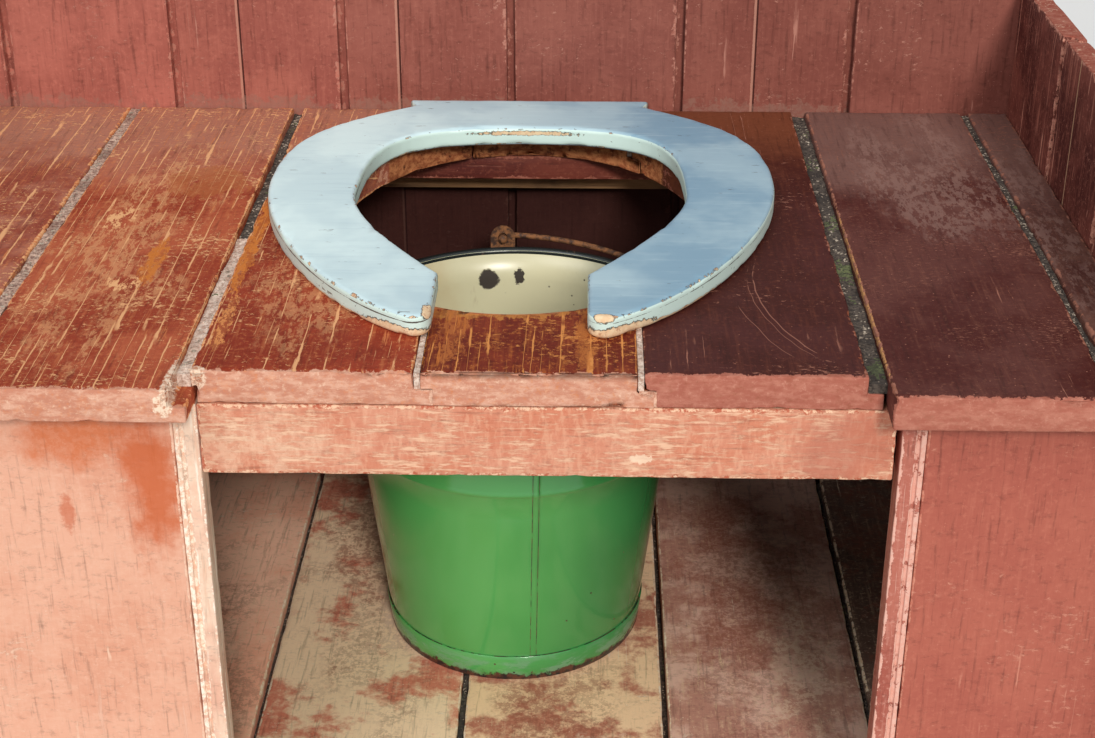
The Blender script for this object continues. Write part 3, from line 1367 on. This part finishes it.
    def build_rim(self) -> None:
        """Builds the rolled rim as a full round."""
        centre_r, centre_z = self.top_r + self.rim_r / 2, self.rim_top - self.rim_r
        turns = [math.tau * i / 20 for i in range(20)]
        bm = self.spun([(centre_r + self.rim_r * math.cos(turn), centre_z + self.rim_r * math.sin(turn))
                        for turn in turns])
        hand_over(bm, "bucket_rolled_rim", "rim_enamel", [BlackEnamel().material()], "bucket_rim")

    def build_foot(self, green: Paint) -> None:
        """Builds the band round the foot, and notes its upper edge on the vertices."""
        top, face, ease = self.foot_band_h, self.sheet, 0.0006
        bm = self.spun([(self.wall_r(z) + out, z)
                        for out, z in ((0, 0), (face * 0.8, 0), (face, ease), (face, top - ease),
                                       (face * 0.6, top), (0, top))])
        line = bm.verts.layers.float.new("line")
        for v in bm.verts:
            v[line] = 1.0 if v.co.z - self.axis.z > top - 0.0001 else 0.0
        hand_over(bm, "bucket_foot", "bucket_enamel", [green], "bucket_foot_band")

    def build_base(self, cream: Paint, green: Paint) -> None:
        """Builds the base, with a pressed step round its edge."""
        z, t = self.base_z, self.sheet
        r = self.wall_r(z) - t
        bm = self.spun([(0.0001, z + t + 0.001), (r - 0.02, z + t + 0.001), (r - 0.014, z + t), (r, z + t),
                        (r, z), (0.0001, z)])
        for f in bm.faces:
            f.material_index = 0 if f.normal.z > 0 else 1
        hand_over(bm, "bucket_bottom", "bucket_enamel", [cream, green], "bucket_base")


@dataclass
class EarsAndBail:
    """The riveted ears and the wire bail that swings in them, which keep their CAD shape."""

    nodes: tuple[str, ...] = ("rear_ear", "front_ear", "bail")

    def build(self) -> None:
        """Gives the ears and the bail their rust."""
        rust = RustySteel().material()
        for node in self.nodes:
            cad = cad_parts[node]
            cad.data.materials.clear()
            cad.data.materials.append(rust)
            log.info("%s keeps its CAD shape", node)


@dataclass(frozen=True)
class Joint:
    """A stretch of open joint to fill.

    Attributes:
        name: The litter piece's name.
        x: Its left and right side.
        y: Its front and rear end.
        fill: The height that the litter reaches.
        bed: Which litter lies in it.
        moss: How much of it is mossy, 0 to 1.
    """

    name: str
    x: tuple[float, float]
    y: tuple[float, float]
    fill: float
    bed: int
    moss: float


@dataclass
class JointLitter:
    """Dust, crumbs and moss in the open joints of the bench top and the floor.

    Attributes:
        tops: The top boards that have the joints between them, from left to right.
        looks: Height, bed and moss of each joint between them.
        floor_fills: Height of the dirt in each joint of the floor.
        lip_z: Upper face of the boards' lips.
        lip: How far a lip reaches under the next board.
        rear_y: Where the joints end at the back wall.
        turn_y: Where the joint left of the seat boards turns dark.
        foot_z: Underside of the dirt in the floor.
        least: Least depth of a bed.
    """

    tops: tuple[str, ...] = ("left_edge_board", "left_outer_board", "left_inner_board", "seat_board_left",
                             "seat_board_middle_front", "seat_board_right", "right_board",
                             "right_edge_board")
    looks: tuple[tuple[float, int, float], ...] = (
        (0.4095, 1, 0.0), (0.4100, 1, 0.0), (0.4085, 2, 0.05), (0.4105, 2, 0.0), (0.4105, 2, 0.0),
        (0.4060, 0, 0.22), (0.4085, 0, 0.03))
    floor_fills: tuple[float, ...] = (0.012, 0.013, 0.0195, 0.012, 0.016)
    lip_z: float = 0.3990
    lip: float = 0.011
    rear_y: float = 0.273
    turn_y: float = -0.030
    foot_z: float = 0.0005
    least: float = 0.4 * MM
    seed: int = 7

    def joints(self) -> list[Joint]:
        """Every filled joint of the top, cut short at the hole."""
        hole = OvalHole()
        found = []
        for i, (left, right, look) in enumerate(zip(self.tops, self.tops[1:], self.looks), 1):
            (left_low, left_high), (right_low, _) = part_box(left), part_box(right)
            x = (left_high.x - self.lip, right_low.x)
            front, rear = max(left_low.y, right_low.y) + 2 * MM, self.rear_y
            reach = hole.half_length(sum(x) / 2)
            stretches = {"": ((front, rear), look)}
            if reach:
                stretches = {"_front": ((front, hole.y - reach - 4 * MM), look),
                             "_rear": ((hole.y + reach + 4 * MM, rear), look)}
            elif left == "left_inner_board":
                stretches = {"_front": ((front, self.turn_y), look),
                             "_rear": ((self.turn_y, rear), (0.4055, 0, 0.1))}
            for end, (y, (fill, bed, moss)) in stretches.items():
                found.append(Joint(f"joint_litter_{i}{end}", x, y, fill, bed, moss))
        return found

    def floor_joints(self) -> list[Joint]:
        """The joints of the floor, filled where they are trodden full."""
        found = []
        for i, fill in enumerate(self.floor_fills, 1):
            left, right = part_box(f"floor_board_{i}")[1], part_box(f"floor_board_{i + 1}")[0]
            y = (right.y + 2 * MM, self.rear_y - 1 * MM)
            found.append(Joint(f"floor_litter_{i}", (left.x, right.x), y, fill, 0, 0.05))
        return found

    def build(self) -> None:
        """Fills each joint up to its own level."""
        colours = {"moss": (tone(112, 118, 78), tone(54, 56, 38)),
                   "crumbs": (tone(196, 182, 164), tone(120, 104, 90)),
                   "dark": (tone(96, 84, 74), tone(38, 30, 26)),
                   "dust": (tone(214, 182, 162), tone(120, 86, 74)),
                   "pale": (tone(230, 210, 194), tone(176, 142, 124))}
        moss, crumbs, *beds = (Litter(f"joint_{name}", light, dark).material()
                               for name, (light, dark) in colours.items())
        for joints, low, slot in ((self.joints(), self.lip_z, "top_paint"),
                                  (self.floor_joints(), self.foot_z, "floor_boards")):
            for joint in joints:
                self.fill(joint, low, slot, (beds[joint.bed], moss, crumbs))
        for name, left in (("left", "seat_board_left"), ("right", "seat_board_middle_front")):
            self.close_lap(f"closed_lap_{name}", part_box(left)[1].x - self.lip)

    def close_lap(self, name: str, edge: float) -> None:
        """Closes the front end of a lap between two seat boards with old paint and dust.

        Args:
            name: The piece's name.
            edge: Where the left board's face ends, in metres.
        """
        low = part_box("seat_board_left")[0]
        paint = Litter(name, tone(226, 182, 156), tone(190, 134, 110)).material()
        size = Vector((12.5 * MM, 2.2 * MM, self.lip_z - low.z - 0.5 * MM))
        centre = Vector((edge + 7.0 * MM, low.y + 1.7 * MM, low.z + size.z / 2 + self.least))
        bm = block(centre, size)
        for axis in (0, 2):
            half = size[axis] / 2
            slice_across(bm, axis, spaced(centre[axis] - half, centre[axis] + half, 1.2 * MM))
        for v in bm.verts:
            if v.co.y < centre.y:
                v.co.y += 0.9 * MM * (0.3 + noise.noise(v.co * 260.0))
        hand_over(bm, name, "top_paint", [paint])

    def fill(self, joint: Joint, low: float, slot: str, materials: Sequence[Paint]) -> None:
        """Lays a lumpy bed along a joint, with crumbs on it.

        Args:
            joint: The joint.
            low: Underside of its bed.
            slot: The record's material slot.
            materials: The bed's material, the moss and the crumbs'.
        """
        (x0, x1), (y0, y1), high = joint.x, joint.y, joint.fill
        bm = block(Vector(((x0 + x1) / 2, (y0 + y1) / 2, (low + high) / 2)),
                   Vector((x1 - x0, y1 - y0, high - low)))
        slice_across(bm, 1, spaced(y0, y1, 2.6 * MM))
        slice_across(bm, 0, spaced(x0, x1, max(1.2 * MM, (x1 - x0) / 6)))
        for v in bm.verts:
            if v.co.z > high - 1e-5:
                v.co.z = max(low + self.least, self.surface(v.co, joint))
        bm.normal_update()
        bed = len(bm.faces)
        for f in bm.faces:
            f.material_index = int(self.mossy(f.calc_center_median(), joint, 0.1) and f.normal.z > 0.2)
        self.strew(bm, joint, low)
        bm.faces.ensure_lookup_table()
        for f in bm.faces[bed:]:
            at = f.calc_center_median()
            pale = noise.noise(at * 240.0) > 0.0
            f.material_index = 1 if self.mossy(at, joint, 0.0) else (2 if pale else 0)
        hand_over(bm, joint.name, slot, materials)

    def strew(self, bm: Mesh, joint: Joint, low: float) -> None:
        """Strews crumbs along a joint's bed."""
        draw = random.Random(f"{joint.name}{self.seed}")
        (x0, x1), (y0, y1) = joint.x, joint.y
        spacing, share = (1.5 * MM, 1.0) if x1 - x0 > 6 * MM else (3 * MM, 0.6)
        for _ in range(int((y1 - y0) / spacing)):
            at = Vector((draw.uniform(x0 + 0.6 * MM, x1 - 0.6 * MM), draw.uniform(y0, y1), joint.fill))
            at.z = max(low + self.least, self.surface(at, joint))
            size = draw.uniform(0.3, 1.2) * MM * share
            turn = Matrix.Rotation(draw.uniform(0, 6.28), 4, "Z")
            turn = turn @ Matrix.Rotation(draw.uniform(-0.5, 0.5), 4, "X")
            scale = Matrix.Diagonal((size * draw.uniform(0.7, 2.2), size, size * draw.uniform(0.5, 0.9), 1.0))
            crumb = bmesh.ops.create_icosphere(bm, subdivisions=1, radius=1.0,
                                               matrix=Matrix.Translation(at) @ turn @ scale)["verts"]
            for v in crumb:
                v.co += (v.co - at) * 0.5 * noise.noise(v.co * 900.0)

    def surface(self, at: Vector, joint: Joint) -> float:
        """Height of the bed at a place, lumpy and sunk here and there."""
        flat = Vector((at.x, at.y, joint.fill))
        lump = 1.3 * MM * noise.noise(flat * 60.0) + 0.9 * MM * noise.noise(flat * 260.0)
        sunk = 5.0 * MM * max(0.0, noise.noise(flat * 21.0 + Vector((4.0, 9.0, 2.0))) - 0.12)
        return min(joint.fill + 0.8 * MM, joint.fill + lump - sunk)

    def mossy(self, at: Vector, joint: Joint, more: float) -> bool:
        """Whether moss grows at a place."""
        cloud = noise.noise(Vector((at.x, at.y, 0.0)) * 19.0 + Vector((3.0, 1.0, 5.0)))
        return joint.moss > 0 and cloud + 0.35 * noise.noise(at * 300.0) > 0.42 - joint.moss + more


@dataclass(frozen=True)
class Fray:
    """A corner where the wood has broken into splinters.

    Attributes:
        name: The piece's name.
        centre: Its middle, in metres.
        reach: How far the splinters' feet scatter along X, Y and Z.
        lean: The way in which they point.
        count: Number of splinters.
    """

    name: str
    centre: Triple
    reach: Triple
    lean: Triple
    count: int


@dataclass
class FrayedCorners:
    """Splinters of bare wood where the seat section steps back from the left wing."""

    corners: tuple[Fray, ...] = (
        Fray("frayed_left_board", (-0.1620, -0.2840, 0.4080), (0.003, 0.009, 0.003), (-0.25, -1.0, 0.1), 60),
        Fray("frayed_left_corner", (-0.1660, -0.2890, 0.4010), (0.005, 0.003, 0.006), (-0.5, -0.6, 0.5), 30),
        Fray("frayed_seat_board", (-0.1470, -0.2620, 0.4060), (0.005, 0.004, 0.005), (0.7, -0.7, 0.2), 40))
    seed: int = 11

    def build(self) -> None:
        """Builds every corner's splinters."""
        wood = Litter("splintered_wood", tone(244, 220, 196), tone(208, 162, 134)).material()
        for corner in self.corners:
            self.splinter(corner, wood)

    def splinter(self, corner: Fray, wood: Paint) -> None:
        """Builds a tuft of thin tapered splinters."""
        draw = random.Random(f"{corner.name}{self.seed}")
        bm = bmesh.new()
        for _ in range(corner.count):
            foot = Vector([c + draw.uniform(-1, 1) * d for c, d in zip(corner.centre, corner.reach)])
            lean = (Vector(corner.lean) + Vector([draw.uniform(-0.6, 0.6) for _ in range(3)])).normalized()
            length, thick = draw.uniform(4.0, 12.0) * MM, draw.uniform(0.3, 0.9) * MM
            turn = lean.to_track_quat("Z", "Y").to_matrix().to_4x4()
            flat = Matrix.Diagonal((1.0, draw.uniform(0.35, 0.7), 1.0, 1.0))
            bmesh.ops.create_cone(bm, cap_ends=True, cap_tris=True, segments=6, radius1=thick,
                                  radius2=0.15 * thick, depth=length,
                                  matrix=Matrix.Translation(foot) @ turn @ flat)
        hand_over(bm, corner.name, "top_paint", [wood])


@dataclass(frozen=True)
class Lamp:
    """One far lamp.

    Attributes:
        name: Its name.
        power: Its strength.
        spread: How wide it looks, in degrees.
        turn: Its place from straight in front to the right, in degrees.
        rise: Its height over the horizon, in degrees.
        colour: Its colour.
    """

    name: str
    power: float
    spread: float
    turn: float
    rise: float
    colour: Triple

    def build(self) -> None:
        """Hangs the lamp."""
        sun = bpy.data.lights.new(self.name, "SUN")
        sun.energy = self.power
        sun.angle = math.radians(self.spread)
        sun.color = self.colour
        across, up = math.radians(self.turn), math.radians(self.rise)
        towards = Vector((math.sin(across) * math.cos(up), -math.cos(across) * math.cos(up), math.sin(up)))
        link(self.name, sun).rotation_euler = towards.to_track_quat("Z", "Y").to_euler()


@dataclass
class Studio:
    """Camera, pale floor and plain light: a low key lamp and a softer one to the front left.

    Attributes:
        eye: Where the camera stands, in metres.
        down: How far it looks down, in degrees.
        left: How far it looks to the left, in degrees.
        lens: Focal length on a sensor 36 mm wide.
        sky: Strength of the even light from all round.
        lamps: The key lamp and the fill lamp.
    """

    eye: Triple = (0.111, -1.330, 0.958)
    down: float = 26.94
    left: float = 1.29
    lens: float = 59.64
    sky: float = 0.36
    lamps: tuple[Lamp, ...] = (Lamp("key", 2.1, 12.0, 12.0, 31.0, (1.0, 0.97, 0.92)),
                               Lamp("fill", 0.9, 30.0, -38.0, 48.0, (0.97, 0.98, 1.0)))

    def build(self) -> None:
        """Sets the camera, the floor, the lamps and the world."""
        bpy.context.scene.view_settings.view_transform = "Standard"
        camera = link("camera", bpy.data.cameras.new("camera"))
        camera.data.lens = self.lens
        camera.data.sensor_width = 36.0
        camera.data.clip_start = 10 * MM
        camera.location = self.eye
        camera.rotation_euler = (math.radians(90 - self.down), 0.0, math.radians(self.left))
        bpy.context.scene.camera = camera
        self.floor()
        for lamp in self.lamps:
            lamp.build()
        self.world()

    def floor(self) -> None:
        """Lays a wide pale floor."""
        bm = bmesh.new()
        bmesh.ops.create_grid(bm, x_segments=1, y_segments=1, size=12.0)
        mesh = bpy.data.meshes.new("studio_floor")
        bm.to_mesh(mesh)
        bm.free()
        r = Recipe("studio_floor")
        colour = r.mix(r.noise(r.place, 3.0), (0.80, 0.80, 0.79), (0.82, 0.82, 0.81))
        mesh.materials.append(r.done(colour, 0.9))
        made = link("studio_floor", mesh)
        made.location.z = -0.5 * MM

    def world(self) -> None:
        """Lights the piece evenly, and shows a pale backdrop to the camera and in reflections."""
        world = bpy.data.worlds.new("studio")
        bpy.context.scene.world = world
        world.use_nodes = True
        nodes, links = world.node_tree.nodes, world.node_tree.links
        back, pale = nodes["Background"], nodes.new("ShaderNodeBackground")
        back.inputs["Color"].default_value = (0.95, 0.97, 1.0, 1.0)
        back.inputs["Strength"].default_value = self.sky
        pale.inputs["Color"].default_value = (0.86, 0.87, 0.88, 1.0)
        path = nodes.new("ShaderNodeLightPath")
        seen = path.outputs["Is Camera Ray"]
        for ray in ("Is Glossy Ray", "Is Transmission Ray"):
            either = nodes.new("ShaderNodeMath")
            either.operation = "MAXIMUM"
            links.new(seen, either.inputs[0])
            links.new(path.outputs[ray], either.inputs[1])
            seen = either.outputs[0]
        mixed = nodes.new("ShaderNodeMixShader")
        for i, output in enumerate((seen, back.outputs[0], pale.outputs[0])):
            links.new(output, mixed.inputs[i])
        links.new(mixed.outputs[0], nodes["World Output"].inputs["Surface"])


def write_size() -> None:
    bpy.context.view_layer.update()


def main() -> None:
    """Builds the studio and every sub-assembly."""
    logging.basicConfig(level=logging.INFO, format="%(name)s: %(message)s")
    for part in (Studio, TopBoards, FrontFace, FloorAndWalls, FrameTimbers, HorseshoeSeat, Bucket, EarsAndBail,
                 JointLitter, FrayedCorners):
        log.info("building %s", part.__name__)
        part().build()
    write_size()


if __name__ == "__main__":
    main()
